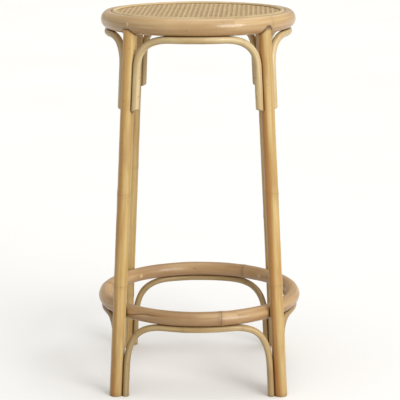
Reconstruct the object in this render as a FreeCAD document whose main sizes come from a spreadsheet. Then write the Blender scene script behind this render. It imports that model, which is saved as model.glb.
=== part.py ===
"""Rattan bar stool with a footrest ring, as a parametric FreeCAD document.

Millimetres, +Z up. The origin is on the floor under the centre of the round seat, and -Y is the front.
Four straight rattan legs stand at 45 degrees to the axes and splay outwards. Their coped tops carry
the bent seat ring, and the smaller footrest ring is screwed inside them. Between each pair of legs a
thin bent arch stiffens the seat ring, and another one, down to the floor, carries the footrest ring.
"""
import FreeCAD, Part
import math
import os
import Sketcher

V = FreeCAD.Vector

# ---------------------------------------------------------------- driving dimensions

DIMENSIONS = [
    # seat ring and what lies in its rebate
    ("seat_height", 740.0),             # floor to the top of the seat ring
    ("seat_tube_dia", 35.0),
    ("seat_outer_dia", 382.0),
    ("rebate_dia", 340.4),              # wall of the step turned into the ring's inner top
    ("rebate_level", 731.0),
    ("crown_level", 738.0),             # narrow flat sanded along the ring's crown
    ("board_dia", 340.0),
    ("board_thick", 4.0),
    ("board_edge", 0.6),
    ("webbing_dia", 339.4),
    ("webbing_thick", 0.8),
    ("spline_ring_dia", 330.4),         # centreline of the half-round edge spline
    ("spline_width", 9.4),
    ("spline_rise", 4.2),
    # legs
    ("leg_dia", 26.0),
    ("leg_foot_radius", 228.0),         # axis distance from the stool's centre at the floor
    ("leg_head_radius", 178.0),         # the same at the level of the seat ring's centreline
    ("leg_head_drop", 3.5),             # the leg is sawn off this far below that level
    # footrest ring
    ("footrest_tube_dia", 28.4),
    ("footrest_ring_dia", 380.0),
    ("footrest_level", 163.5),
    # arches
    ("bedding", 0.4),                   # how deep an arch is seated in the poles that it touches
    ("upper_arch_dia", 14.5),
    ("upper_arch_start", 562.0),        # level where the straight run begins
    ("back_arch_start", 570.0),         # the same for the arch at the back
    ("upper_arch_end_slant", 20.0),     # degrees; each end is longer on the side of its leg
    ("upper_arch_bend", 642.5),         # level where the run ends and the bend begins
    ("upper_arch_crown_radius", 176.8),
    ("upper_arch_crown_half_angle", 14.0),
    ("upper_arch_run_turn", 7.7),       # the run lies this far round the leg, towards the inside
    ("upper_arch_bend_pull", 59.0),
    ("upper_arch_crown_pull", 15.0),
    ("lower_arch_dia", 13.0),
    ("lower_arch_start", -12.0),        # below the floor, trimmed flat with the foot
    ("lower_arch_bend", 55.5),
    ("lower_arch_crown_radius", 191.9),
    ("lower_arch_crown_half_angle", 19.2),
    ("lower_arch_run_turn", 30.0),
    ("lower_arch_bend_pull", 60.0),
    ("lower_arch_crown_pull", 60.0),
    # fasteners
    ("leg_screw_dia", 3.0),
    ("leg_screw_head_dia", 5.2),
    ("leg_screw_length", 30.0),
    ("leg_plug_dia", 5.2),
    ("footrest_screw_dia", 4.0),
    ("footrest_screw_head_dia", 7.6),
    ("footrest_screw_length", 36.0),
    ("footrest_plug_dia", 8.0),
    ("plug_depth", 6.0),
    ("screw_head_rim", 0.4),
    ("screw_tip", 6.0),
    ("screw_recess", 1.5),
    ("screw_slot", 0.8),
    ("nail_dia", 1.8),
    ("nail_head_dia", 3.4),
    ("nail_head_thick", 0.8),
    ("nail_length", 25.0),
    ("nail_tip", 3.0),
    ("pin_dia", 1.4),
    ("pin_length", 16.0),
    ("pin_tip", 2.0),
    ("staple_width", 6.0),
    ("staple_wire", 0.8),
    ("staple_depth", 6.0),
]

LEGS = {"leg_back_right": 45, "leg_back_left": 135, "leg_front_left": 225, "leg_front_right": 315}
ARCH_SIDES = {"right": 0, "back": 90, "left": 180, "front": 270}

LEG_SCREW_DIP = 54.0            # degrees below the horizontal
LEG_SCREW_TUBE_ANGLE = 8.0      # where it enters the ring's section, above the outer equator
LEG_SCREW_OFFSET = 1.6          # degrees round the ring from the leg's middle
UPPER_LEG_NAIL_LEVELS = (588.0, 624.0)
LOWER_LEG_NAIL_LEVELS = (20.0, 46.0)
UPPER_RING_NAIL_ANGLE = 8.0     # each side of the arch's middle
LOWER_RING_NAIL_ANGLE = 12.0
SCARF_AZIMUTH = 112.0           # glued joint where each ring's pole closes on itself
SCARF_PIN_ANGLE = 3.5
BOARD_PINS = 8
BOARD_PIN_INSET = 2.0           # from the spline's centreline, towards the middle
SPLINE_PINS = 12
SPLINE_PIN_DEPTH = 0.6          # below the spline's crown
STAPLES = 24
STAPLE_START = 10.5
STAPLE_OUTSET = 2.6             # from the spline's centreline, towards the rebate's wall
CROSS_ARM = 0.62                # of the screw head's radius
FLOOR_BLOCK = 700.0
FLOOR_BLOCK_DEPTH = 60.0
OVERRUN = 20.0                  # how far blanks run past the faces that trim them
TRIM_BLOCK = 44.0               # side of the block that trims a slanted arch end


# ---------------------------------------------------------------- document and helpers

doc = FreeCAD.newDocument("bar_stool")
dims = doc.addObject("Spreadsheet::Sheet", "dims")


def fill_sheet():
    """Write every driving dimension to the sheet, with its name as the cell's alias."""
    for row, (alias, number) in enumerate(DIMENSIONS, start=1):
        dims.set(f"A{row}", alias.replace("_", " "))
        dims.set(f"B{row}", str(number))
        dims.setAlias(f"B{row}", alias)
    doc.recompute()


def size(alias):
    """A driving dimension, read from the sheet."""
    return float(dims.get(alias))


def whole(alias):
    """A driving dimension with the formula that ties a sketch to it."""
    return size(alias), "dims." + alias


def half(alias):
    """Half of a driving dimension, with its formula."""
    return size(alias) / 2, f"dims.{alias} / 2"


def plus(first, second):
    return first[0] + second[0], f"{first[1]} + {second[1]}"


def minus(first, second):
    return first[0] - second[0], f"{first[1]} - ({second[1]})"


def bind(obj, **expressions):
    """Bind properties of an object to expressions on the sheet's aliases."""
    for prop, expression in expressions.items():
        obj.setExpression(prop, expression)


def raise_to(obj, formula):
    """Bind the level of an object's placement."""
    obj.setExpression("Placement.Base.z", formula)


def polar(radius, azimuth, level):
    """The point at a radius and an azimuth in degrees round the stool's axis."""
    angle = math.radians(azimuth)
    return V(radius * math.cos(angle), radius * math.sin(angle), level)


def outward(azimuth):
    return polar(1.0, azimuth, 0.0)


def turned(vector, azimuth):
    """A vector turned about the stool's axis."""
    return FreeCAD.Rotation(V(0, 0, 1), azimuth).multVec(vector)


def along(point, direction):
    """A placement whose +Z runs along the direction from the point."""
    return FreeCAD.Placement(point, FreeCAD.Rotation(V(0, 0, 1), direction))


def new_sketch(body, name, plane_role):
    """A sketch on one of the body's own origin planes."""
    sketch = body.newObject("Sketcher::SketchObject", name)
    plane = next(f for f in body.Origin.OriginFeatures if f.Role == plane_role)
    sketch.AttachmentSupport = [(plane, "")]
    sketch.MapMode = "FlatFace"
    return sketch


def bind_constraint(sketch, name, expression, kind, *where):
    """Add a named dimension to a sketch and bind it to an expression on the sheet."""
    index = sketch.addConstraint(Sketcher.Constraint(kind, *where))
    sketch.renameConstraint(index, name)
    sketch.setExpression("Constraints." + name, expression)


def sketch_circle(sketch, radius, centre=None):
    """A circle bound to the sheet, at the sketch's origin or round the given (across, up)."""
    middle = V(centre[0][0], centre[1][0], 0) if centre else V()
    curve = sketch.addGeometry(Part.Circle(middle, V(0, 0, 1), radius[0]), False)
    if centre:
        (across, across_formula), (up, up_formula) = centre
        bind_constraint(sketch, "across", across_formula, "DistanceX", -1, 1, curve, 3, across)
        bind_constraint(sketch, "up", up_formula, "DistanceY", -1, 1, curve, 3, up)
    else:
        sketch.addConstraint(Sketcher.Constraint("Coincident", curve, 3, -1, 1))
    bind_constraint(sketch, "radius", radius[1], "Radius", curve, radius[0])


def hold(sketch, name, kind, curve, place):
    """Hold a curve's start at a coordinate: a plain number, or a number with its formula."""
    if isinstance(place, tuple):
        bind_constraint(sketch, name, place[1], kind, -1, 1, curve, 1, place[0])
    else:
        sketch.addConstraint(Sketcher.Constraint(kind, -1, 1, curve, 1, place))


def sketch_profile(sketch, corners):
    """A closed outline of straight lines, each corner held at its own coordinates."""
    points = [V(*(place[0] if isinstance(place, tuple) else place for place in corner), 0)
              for corner in corners]
    for start, end in zip(points, points[1:] + points[:1]):
        sketch.addGeometry(Part.LineSegment(start, end), False)
    for line, (across, up) in enumerate(corners):
        previous = (line - 1) % len(corners)
        sketch.addConstraint(Sketcher.Constraint("Coincident", previous, 2, line, 1))
        hold(sketch, f"across_{line}", "DistanceX", line, across)
        hold(sketch, f"up_{line}", "DistanceY", line, up)


def revolve(body, name, sketch, kind="PartDesign::Revolution"):
    """Turn a sketch once round the body's own Z axis."""
    feature = body.newObject(kind, name)
    feature.Profile = sketch
    feature.ReferenceAxis = (sketch, ["V_Axis"])
    feature.Angle = 360.0
    return feature


def compound(name, members):
    group = doc.addObject("Part::Compound", name)
    group.Links = members
    return group


def cut(label, base, tools):
    """A piece with the shapes of its neighbours and fasteners cut from it."""
    piece = doc.addObject("Part::Cut", label)
    piece.Base = base
    piece.Tool = tools[0] if len(tools) == 1 else compound(label + "_tools", tools)
    return piece


def group_of(label, master, placements):
    """Identical small pieces in one node: separate copies of a master's solid, each at its placement."""
    copies = []
    for placement in placements:
        copy = master.Shape.copy()
        copy.Placement = placement.multiply(copy.Placement)
        copies.append(copy)
    group = doc.addObject("Part::Feature", label)
    group.Shape = Part.makeCompound(copies)
    return group


# ---------------------------------------------------------------- poles and rings, before cutting

def ring_body(name, ring_radius, level, tube_radius):
    """A pole bent to a closed ring: one circle turned round the stool's axis."""
    body = doc.addObject("PartDesign::Body", name)
    section = new_sketch(body, name + "_section", "XZ_Plane")
    sketch_circle(section, tube_radius, (ring_radius, level))
    revolve(body, name + "_turn", section)
    return body


def disc_body(name, diameter, thickness, level):
    """A flat round disc whose underside lies at the level."""
    body = doc.addObject("PartDesign::Body", name)
    outline = new_sketch(body, name + "_outline", "XY_Plane")
    sketch_circle(outline, half(diameter))
    pad = body.newObject("PartDesign::Pad", name + "_pad")
    pad.Profile = outline
    bind(pad, Length="dims." + thickness)
    body.Placement.Base = V(0, 0, level[0])
    raise_to(body, level[1])
    return body


def leg_line():
    """Foot point, unit direction and length of the axis of the leg at azimuth 0."""
    head_level = size("seat_height") - size("seat_tube_dia") / 2
    foot = V(size("leg_foot_radius"), 0, 0)
    rise = V(size("leg_head_radius"), 0, head_level) - foot
    direction = V(rise).normalize()
    length = (head_level - size("leg_head_drop")) / direction.z
    return foot, direction, length


def leg_axis_point(azimuth, level):
    foot, direction, _ = leg_line()
    return turned(foot + direction * (level / direction.z), azimuth)


def leg_blank(name, azimuth):
    """A straight pole along one leg's axis, from under the floor up into the seat ring."""
    foot, direction, length = leg_line()
    body = doc.addObject("PartDesign::Body", name + "_pole")
    outline = new_sketch(body, name + "_outline", "XY_Plane")
    sketch_circle(outline, half("leg_dia"))
    pad = body.newObject("PartDesign::Pad", name + "_pad")
    pad.Profile = outline
    pad.Length = length + OVERRUN
    head = "(dims.seat_height - dims.seat_tube_dia / 2)"
    whole_axis = f"sqrt((dims.leg_foot_radius - dims.leg_head_radius) ^ 2 + {head} ^ 2)"
    bind(pad, Length=f"{whole_axis} * (1 - dims.leg_head_drop / {head}) + {OVERRUN}")
    start = turned(foot - direction * OVERRUN, azimuth)
    body.Placement = along(start, turned(direction, azimuth))
    return body


def seat_ring_blank():
    """The seat ring with the step in its inner top for the board, and its crown sanded flat."""
    tube = half("seat_tube_dia")
    outer = half("seat_outer_dia")
    body = ring_body("seat_ring_pole", minus(outer, tube), minus(whole("seat_height"), tube), tube)
    step = new_sketch(body, "rebate_section", "XZ_Plane")
    spare = (OVERRUN, str(OVERRUN))
    inside = minus(minus(outer, whole("seat_tube_dia")), spare)
    wall = half("rebate_dia")
    floor = whole("rebate_level")
    above = plus(whole("seat_height"), spare)
    sketch_profile(step, [(inside, floor), (wall, floor), (wall, above), (inside, above)])
    revolve(body, "rebate", step, "PartDesign::Groove")
    flat = new_sketch(body, "crown_section", "XZ_Plane")
    crown = whole("crown_level")
    sketch_profile(flat, [(inside, crown), (outer, crown), (outer, above), (inside, above)])
    revolve(body, "sanded_crown", flat, "PartDesign::Groove")
    return body


def spline_blank():
    """The half-round cane that covers the webbing's edge: flat side down on the webbing."""
    body = doc.addObject("PartDesign::Body", "seat_edge_spline_cane")
    section = new_sketch(body, "spline_section", "XZ_Plane")
    middle, reach = half("spline_ring_dia"), half("spline_width")
    base = plus(whole("rebate_level"), plus(whole("board_thick"), whole("webbing_thick")))
    near_side, far_side = minus(middle, reach), plus(middle, reach)
    left, right = V(near_side[0], base[0], 0), V(far_side[0], base[0], 0)
    crown = V(middle[0], base[0] + size("spline_rise"), 0)
    flat = section.addGeometry(Part.LineSegment(left, right), False)
    round_side = section.addGeometry(Part.Arc(right, crown, left), False)
    section.addConstraint(Sketcher.Constraint("Coincident", flat, 2, round_side, 1))
    section.addConstraint(Sketcher.Constraint("Coincident", flat, 1, round_side, 2))
    section.addConstraint(Sketcher.Constraint("Horizontal", flat))
    hold(section, "near_side", "DistanceX", flat, near_side)
    hold(section, "base", "DistanceY", flat, base)
    bind_constraint(section, "width", "dims.spline_width", "DistanceX", flat, 1, flat, 2,
                    size("spline_width"))
    radius = (reach[0] ** 2 + size("spline_rise") ** 2) / (2 * size("spline_rise"))
    formula = "((dims.spline_width / 2) ^ 2 + dims.spline_rise ^ 2) / (2 * dims.spline_rise)"
    bind_constraint(section, "radius", formula, "Radius", round_side, radius)
    revolve(body, "spline_turn", section)
    return body


def torus(name, ring_radius, tube_radius, level):
    """The plain round outside of a bent ring, used to cope and bed what touches it."""
    shape = doc.addObject("Part::Torus", name)
    bind(shape, Radius1=ring_radius[1], Radius2=tube_radius[1])
    shape.Placement.Base = V(0, 0, level[0])
    raise_to(shape, level[1])
    return shape


def floor_block():
    """Everything under the floor, which trims the feet flat."""
    block = doc.addObject("Part::Box", "floor_block")
    block.Length = FLOOR_BLOCK
    block.Width = FLOOR_BLOCK
    block.Height = FLOOR_BLOCK_DEPTH
    block.Placement.Base = V(-FLOOR_BLOCK / 2, -FLOOR_BLOCK / 2, -FLOOR_BLOCK_DEPTH)
    return block


# ---------------------------------------------------------------- arches

def run_offset(family, azimuth, side):
    """From a leg's axis to the axis of the arch run beside it. The arch lies on one side of the leg."""
    distance = (size("leg_dia") + size(family + "_dia")) / 2 - size("bedding")
    turn = math.radians(size(family + "_run_turn"))
    sideways = turned(V(0, -side, 0), azimuth)
    inward = outward(azimuth) * -1
    return (sideways * math.cos(turn) + inward * math.sin(turn)) * distance


def run_point(family, arch_azimuth, side, level):
    """A point on the axis of an arch's straight run. side is -1 or +1, the leg before or after."""
    azimuth = arch_azimuth + 45 * side
    return leg_axis_point(azimuth, level) + run_offset(family, azimuth, side)


def crown_level(family):
    """The level at which the arch's crown is bedded against the underside of its ring."""
    if family == "upper_arch":
        ring_radius = (size("seat_outer_dia") - size("seat_tube_dia")) / 2
        level = size("seat_height") - size("seat_tube_dia") / 2
        tube_radius = size("seat_tube_dia") / 2
    else:
        ring_radius = size("footrest_ring_dia") / 2
        level = size("footrest_level")
        tube_radius = size("footrest_tube_dia") / 2
    reach = tube_radius + size(family + "_dia") / 2 - size("bedding")
    aside = size(family + "_crown_radius") - ring_radius
    return level - math.sqrt(reach ** 2 - aside ** 2)


def blank_start(family, azimuth):
    """The level where the stock of an arch's run begins: upper arches are trimmed back from there."""
    if family == "lower_arch":
        return size("lower_arch_start")
    return end_level(azimuth) - OVERRUN


def end_level(azimuth):
    """The level of an upper arch's sawn ends, on the run's axis."""
    return size("back_arch_start") if azimuth == ARCH_SIDES["back"] else size("upper_arch_start")


def slanted_trims(name, azimuth):
    """Two blocks whose slanted faces saw the ends of one upper arch."""
    blocks = []
    lean = math.tan(math.radians(size("upper_arch_end_slant")))
    for side in (-1, 1):
        end = run_point("upper_arch", azimuth, side, end_level(azimuth))
        run = (run_point("upper_arch", azimuth, side, end_level(azimuth) + 100) - end).normalize()
        to_leg = (run_offset("upper_arch", azimuth + 45 * side, side) * -1).normalize()
        block = doc.addObject("Part::Box", f"{name}_trim_{'before' if side < 0 else 'after'}")
        block.Length = block.Width = block.Height = TRIM_BLOCK
        to_middle = FreeCAD.Placement(V(-TRIM_BLOCK / 2, -TRIM_BLOCK / 2, 0), FreeCAD.Rotation())
        block.Placement = along(end, (run + to_leg * lean) * -1).multiply(to_middle)
        blocks.append(block)
    return blocks


def arch_spine(name, family, azimuth):
    """The centreline of one arch: a run, a bend, the crown that follows the ring, and the same back."""
    start_level = blank_start(family, azimuth)
    bend_level = size(family + "_bend")
    radius = size(family + "_crown_radius")
    half_angle = size(family + "_crown_half_angle")
    level = crown_level(family)
    edges = []
    for side in (-1, 1):
        foot = run_point(family, azimuth, side, start_level)
        bend = run_point(family, azimuth, side, bend_level)
        run_direction = (bend - foot).normalize()
        crown_end = polar(radius, azimuth + side * half_angle, level)
        crown_direction = outward(azimuth + side * (half_angle - 90))
        controls = [
            bend,
            bend + run_direction * size(family + "_bend_pull"),
            crown_end - crown_direction * size(family + "_crown_pull"),
            crown_end,
        ]
        curve = Part.BezierCurve()
        curve.setPoles(controls)
        edges += [Part.makeLine(foot, bend), curve.toShape()]
    crown = Part.Arc(polar(radius, azimuth - half_angle, level), polar(radius, azimuth, level),
                     polar(radius, azimuth + half_angle, level)).toShape()
    spine = doc.addObject("Part::Feature", name + "_spine")
    spine.Shape = Part.Wire(Part.__sortEdges__([edges[0], edges[1], crown, edges[3], edges[2]]))
    return spine


def arch_blank(name, family, azimuth):
    """A round cane swept along one arch's centreline."""
    spine = arch_spine(name, family, azimuth)
    foot = run_point(family, azimuth, -1, blank_start(family, azimuth))
    bend = run_point(family, azimuth, -1, size(family + "_bend"))
    section = doc.addObject("Part::Circle", name + "_section")
    bind(section, Radius=f"dims.{family}_dia / 2")
    section.Placement = along(foot, bend - foot)
    cane = doc.addObject("Part::Sweep", name + "_cane")
    cane.Sections = [section]
    cane.Spine = (spine, [f"Edge{number}" for number in range(1, len(spine.Shape.Edges) + 1)])
    cane.Solid = True
    cane.Frenet = False
    return cane


# ---------------------------------------------------------------- fasteners, driven along +Z

def screw_master(name):
    """A countersunk wood screw with a crossed recess."""
    body = doc.addObject("PartDesign::Body", name + "_master")
    half_profile = new_sketch(body, name + "_profile", "XZ_Plane")
    head, shank = half(name + "_head_dia"), half(name + "_dia")
    rim, length = whole("screw_head_rim"), whole(name + "_length")
    sketch_profile(half_profile, [(0, 0), (head, 0), (head, rim),
                                  (shank, minus(plus(rim, head), shank)),
                                  (shank, minus(length, whole("screw_tip"))), (0, length)])
    revolve(body, name + "_turn", half_profile)
    doc.recompute()
    cross = new_sketch(body, name + "_cross", "XY_Plane")
    arm, slot = head[0] * CROSS_ARM, size("screw_slot") / 2
    sketch_profile(cross, [(slot, slot), (slot, arm), (-slot, arm), (-slot, slot), (-arm, slot),
                           (-arm, -slot), (-slot, -slot), (-slot, -arm), (slot, -arm),
                           (slot, -slot), (arm, -slot), (arm, slot)])
    recess = body.newObject("PartDesign::Pocket", name + "_recess")
    recess.Profile = cross
    recess.Reversed = True
    bind(recess, Length="dims.screw_recess")
    return body


def nail_master():
    """A steel nail with a thin flat head and a pointed tip."""
    body = doc.addObject("PartDesign::Body", "nail_master")
    half_profile = new_sketch(body, "nail_profile", "XZ_Plane")
    head, shank = half("nail_head_dia"), half("nail_dia")
    thick, length = whole("nail_head_thick"), whole("nail_length")
    sketch_profile(half_profile, [(0, 0), (head, 0), (head, thick), (shank, thick),
                                  (shank, minus(length, whole("nail_tip"))), (0, length)])
    revolve(body, "nail_turn", half_profile)
    return body


def pin_master():
    """A headless pin with a pointed tip."""
    body = doc.addObject("PartDesign::Body", "pin_master")
    half_profile = new_sketch(body, "pin_profile", "XZ_Plane")
    shank, length = half("pin_dia"), whole("pin_length")
    sketch_profile(half_profile, [(0, 0), (shank, 0), (shank, minus(length, whole("pin_tip"))),
                                  (0, length)])
    revolve(body, "pin_turn", half_profile)
    return body


def plug_master(name):
    """The stock of a wooden plug, long enough to be trimmed flush with the round pole."""
    stock = doc.addObject("Part::Cylinder", name + "_master")
    bind(stock, Radius=f"dims.{name}_dia / 2")
    stock.Height = size("plug_depth") + OVERRUN / 2
    stock.Placement.Base = V(0, 0, -OVERRUN / 2)
    return stock


def staple_master():
    """A wire staple: its crown along X, its two legs along +Z."""
    width, wire, depth = size("staple_width"), size("staple_wire"), size("staple_depth")
    crown = Part.makeBox(width, wire, wire, V(-width / 2, -wire / 2, 0))
    near_leg = Part.makeBox(wire, wire, depth, V(-width / 2, -wire / 2, 0))
    far_leg = Part.makeBox(wire, wire, depth, V(width / 2 - wire, -wire / 2, 0))
    master = doc.addObject("Part::Feature", "staple_master")
    master.Shape = crown.fuse([near_leg, far_leg]).removeSplitter()
    return master


# ---------------------------------------------------------------- where the fasteners go

def leg_screw_seats():
    """Entry placements on the seat ring, one over each leg, aimed down into the leg's head."""
    ring_radius = (size("seat_outer_dia") - size("seat_tube_dia")) / 2
    tube_radius = size("seat_tube_dia") / 2
    level = size("seat_height") - tube_radius
    enter = math.radians(LEG_SCREW_TUBE_ANGLE)
    dip = math.radians(LEG_SCREW_DIP)
    seats = []
    for leg_azimuth in LEGS.values():
        azimuth = leg_azimuth + LEG_SCREW_OFFSET
        entry = polar(ring_radius + tube_radius * math.cos(enter), azimuth,
                      level + tube_radius * math.sin(enter))
        aim = outward(azimuth) * -math.cos(dip) + V(0, 0, -math.sin(dip))
        seats.append((entry, aim))
    return seats


def footrest_screw_seats():
    """Entry placements on the footrest ring's inner face, aimed outwards into each leg."""
    inner_face = (size("footrest_ring_dia") - size("footrest_tube_dia")) / 2
    level = size("footrest_level")
    return [(polar(inner_face, azimuth, level), outward(azimuth)) for azimuth in LEGS.values()]


def plugs_and_screws(seats):
    """Placements of the plugs at the entries, and of the screws sunk behind them."""
    plugs = [along(entry, aim) for entry, aim in seats]
    screws = [along(entry + aim * size("plug_depth"), aim) for entry, aim in seats]
    return plugs, screws


def leg_nail_places(family, levels):
    """Two nails through each end of each arch, into the leg that it lies along."""
    places = []
    for arch_azimuth in ARCH_SIDES.values():
        for side in (-1, 1):
            aim = (run_offset(family, arch_azimuth + 45 * side, side) * -1).normalize()
            for level in levels:
                middle = run_point(family, arch_azimuth, side, level)
                places.append(along(middle - aim * (size(family + "_dia") / 2), aim))
    return places


def ring_nail_places(family, ring_radius, ring_level, half_angle):
    """Two nails up through each arch's crown, into the ring that it carries."""
    places = []
    crown_radius, level = size(family + "_crown_radius"), crown_level(family)
    for arch_azimuth in ARCH_SIDES.values():
        for azimuth in (arch_azimuth - half_angle, arch_azimuth + half_angle):
            middle = polar(crown_radius, azimuth, level)
            aim = (polar(ring_radius, azimuth, ring_level) - middle).normalize()
            places.append(along(middle - aim * (size(family + "_dia") / 2), aim))
    return places


def scarf_pin_places(ring_radius, tube_radius, level):
    """Two pins through the glued joint of a ring, driven inwards from its outer face."""
    places = []
    for azimuth in (SCARF_AZIMUTH - SCARF_PIN_ANGLE, SCARF_AZIMUTH + SCARF_PIN_ANGLE):
        places.append(along(polar(ring_radius + tube_radius, azimuth, level), outward(azimuth) * -1))
    return places


def round_the_seat(count, first, radius, level):
    """Placements pointing straight down at equal steps round the seat, with X along the circle."""
    places = []
    for number in range(count):
        azimuth = first + 360.0 * number / count
        rotation = FreeCAD.Rotation(outward(azimuth + 90), V(), V(0, 0, -1), "ZXY")
        places.append(FreeCAD.Placement(polar(radius, azimuth, level), rotation))
    return places


# ---------------------------------------------------------------- the stool

def build():
    """Make every piece and return the list of finished sub-parts."""
    fill_sheet()
    seat_radius = (size("seat_outer_dia") - size("seat_tube_dia")) / 2
    seat_level = size("seat_height") - size("seat_tube_dia") / 2
    footrest_radius = size("footrest_ring_dia") / 2
    footrest_level = size("footrest_level")
    webbing_level = size("rebate_level") + size("board_thick")
    webbing_top = webbing_level + size("webbing_thick")
    spline_radius = size("spline_ring_dia") / 2

    # blanks
    seat_pole = seat_ring_blank()
    footrest_pole = ring_body("footrest_ring_pole", half("footrest_ring_dia"),
                              whole("footrest_level"), half("footrest_tube_dia"))
    board = disc_body("seat_board_disc", "board_dia", "board_thick", whole("rebate_level"))
    webbing = disc_body("cane_webbing_disc", "webbing_dia", "webbing_thick",
                        plus(whole("rebate_level"), whole("board_thick")))
    spline = spline_blank()
    seat_tube = half("seat_tube_dia")
    seat_torus = torus("seat_ring_round", minus(half("seat_outer_dia"), seat_tube), seat_tube,
                       minus(whole("seat_height"), seat_tube))
    footrest_torus = torus("footrest_ring_round", half("footrest_ring_dia"),
                           half("footrest_tube_dia"), whole("footrest_level"))
    floor = floor_block()
    leg_poles = {name: leg_blank(name, azimuth) for name, azimuth in LEGS.items()}
    all_legs = compound("all_leg_poles", list(leg_poles.values()))
    leg_screw, footrest_screw = screw_master("leg_screw"), screw_master("footrest_screw")
    leg_plug, footrest_plug = plug_master("leg_plug"), plug_master("footrest_plug")
    nail, pin, staple = nail_master(), pin_master(), staple_master()
    doc.recompute()

    # the board's edge is eased all round
    pad = board.Tip
    rims = [f"Edge{number}" for number, edge in enumerate(pad.Shape.Edges, start=1) if edge.isClosed()]
    eased = board.newObject("PartDesign::Chamfer", "board_eased_edges")
    eased.Base = (pad, rims)
    bind(eased, Size="dims.board_edge")

    # fasteners
    plug_places, screw_places = plugs_and_screws(leg_screw_seats())
    leg_plug_stock = group_of("leg_plug_stock", leg_plug, plug_places)
    leg_top_screws = group_of("leg_top_screws", leg_screw, screw_places)
    leg_top_bores = group_of("leg_top_bores", doc.getObject("leg_screw_turn"), screw_places)
    plug_places, screw_places = plugs_and_screws(footrest_screw_seats())
    footrest_plug_stock = group_of("footrest_plug_stock", footrest_plug, plug_places)
    footrest_screws = group_of("footrest_screws", footrest_screw, screw_places)
    footrest_bores = group_of("footrest_bores", doc.getObject("footrest_screw_turn"), screw_places)
    upper_leg_nails = group_of("upper_arch_leg_nails", nail,
                               leg_nail_places("upper_arch", UPPER_LEG_NAIL_LEVELS))
    lower_leg_nails = group_of("lower_arch_leg_nails", nail,
                               leg_nail_places("lower_arch", LOWER_LEG_NAIL_LEVELS))
    upper_ring_nails = group_of("upper_arch_ring_nails", nail,
                                ring_nail_places("upper_arch", seat_radius, seat_level,
                                                 UPPER_RING_NAIL_ANGLE))
    lower_ring_nails = group_of("lower_arch_ring_nails", nail,
                                ring_nail_places("lower_arch", footrest_radius, footrest_level,
                                                 LOWER_RING_NAIL_ANGLE))
    seat_scarf_pins = group_of("seat_ring_scarf_pins", pin,
                               scarf_pin_places(seat_radius, size("seat_tube_dia") / 2, seat_level))
    footrest_scarf_pins = group_of("footrest_ring_scarf_pins", pin,
                                   scarf_pin_places(footrest_radius, size("footrest_tube_dia") / 2,
                                                    footrest_level))
    pin_step = 360.0 / (2 * BOARD_PINS)
    board_pins = group_of("seat_board_pins", pin,
                          round_the_seat(BOARD_PINS, pin_step, spline_radius - BOARD_PIN_INSET,
                                         webbing_level))
    pin_level = webbing_top + size("spline_rise") - SPLINE_PIN_DEPTH
    spline_pins = group_of("seat_edge_spline_pins", pin,
                           round_the_seat(SPLINE_PINS, 180.0 / SPLINE_PINS, spline_radius, pin_level))
    staples = group_of("webbing_staples", staple,
                       round_the_seat(STAPLES, STAPLE_START, spline_radius + STAPLE_OUTSET, webbing_top))

    leg_top_plugs = doc.addObject("Part::Common", "leg_top_plugs")
    leg_top_plugs.Base = leg_plug_stock
    leg_top_plugs.Tool = seat_torus
    footrest_plugs = doc.addObject("Part::Common", "footrest_plugs")
    footrest_plugs.Base = footrest_plug_stock
    footrest_plugs.Tool = footrest_torus

    # pieces
    seat_ring = cut("seat_ring", seat_pole,
                    [leg_plug_stock, leg_top_bores, upper_ring_nails, seat_scarf_pins, board_pins,
                     spline_pins, staples])
    seat_board = cut("seat_board", board, [board_pins, spline_pins, staples])
    cane_webbing = cut("cane_webbing", webbing, [spline_pins, staples])
    seat_edge_spline = cut("seat_edge_spline", spline, [spline_pins])
    footrest_ring = cut("footrest_ring", footrest_pole,
                        [all_legs, footrest_plug_stock, footrest_bores, lower_ring_nails,
                         footrest_scarf_pins])
    leg_fasteners = [leg_top_bores, footrest_bores, upper_leg_nails, lower_leg_nails]
    legs = [cut(name, pole, [floor, seat_torus] + leg_fasteners) for name, pole in leg_poles.items()]
    arches = []
    for side, azimuth in ARCH_SIDES.items():
        upper = arch_blank("upper_arch_" + side, "upper_arch", azimuth)
        trims = slanted_trims("upper_arch_" + side, azimuth)
        arches.append(cut("upper_arch_" + side, upper,
                          [all_legs, seat_torus, upper_leg_nails, upper_ring_nails] + trims))
        lower = arch_blank("lower_arch_" + side, "lower_arch", azimuth)
        arches.append(cut("lower_arch_" + side, lower,
                          [all_legs, footrest_torus, floor, lower_leg_nails, lower_ring_nails]))
    doc.recompute()
    return [seat_ring, seat_board, cane_webbing, seat_edge_spline, footrest_ring, *legs, *arches,
            leg_top_screws, leg_top_plugs, footrest_screws, footrest_plugs, upper_leg_nails,
            upper_ring_nails, lower_leg_nails, lower_ring_nails, seat_scarf_pins, footrest_scarf_pins,
            board_pins, spline_pins, staples]


def check_and_write(pieces):
    """Stop on any failed object or bad shape, then write one STEP file for each piece."""
    for obj in doc.Objects:
        if "Invalid" in obj.State or "Error" in obj.State:
            raise RuntimeError(f"{obj.Name} failed: {obj.State}")
    for piece in pieces:
        if piece.Shape.isNull() or not piece.Shape.isValid() or not piece.Shape.Solids:
            raise RuntimeError(f"{piece.Label} has no valid solid")
    os.makedirs("parts", exist_ok=True)
    for piece in pieces:
        piece.Shape.exportStep(f"parts/{piece.Label}.step")
        print(piece.Label, len(piece.Shape.Solids), round(piece.Shape.Volume, 1))


check_and_write(build())
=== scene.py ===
import random
from math import asin, cos, pi, radians, sin, sqrt, tan, tanh

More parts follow.
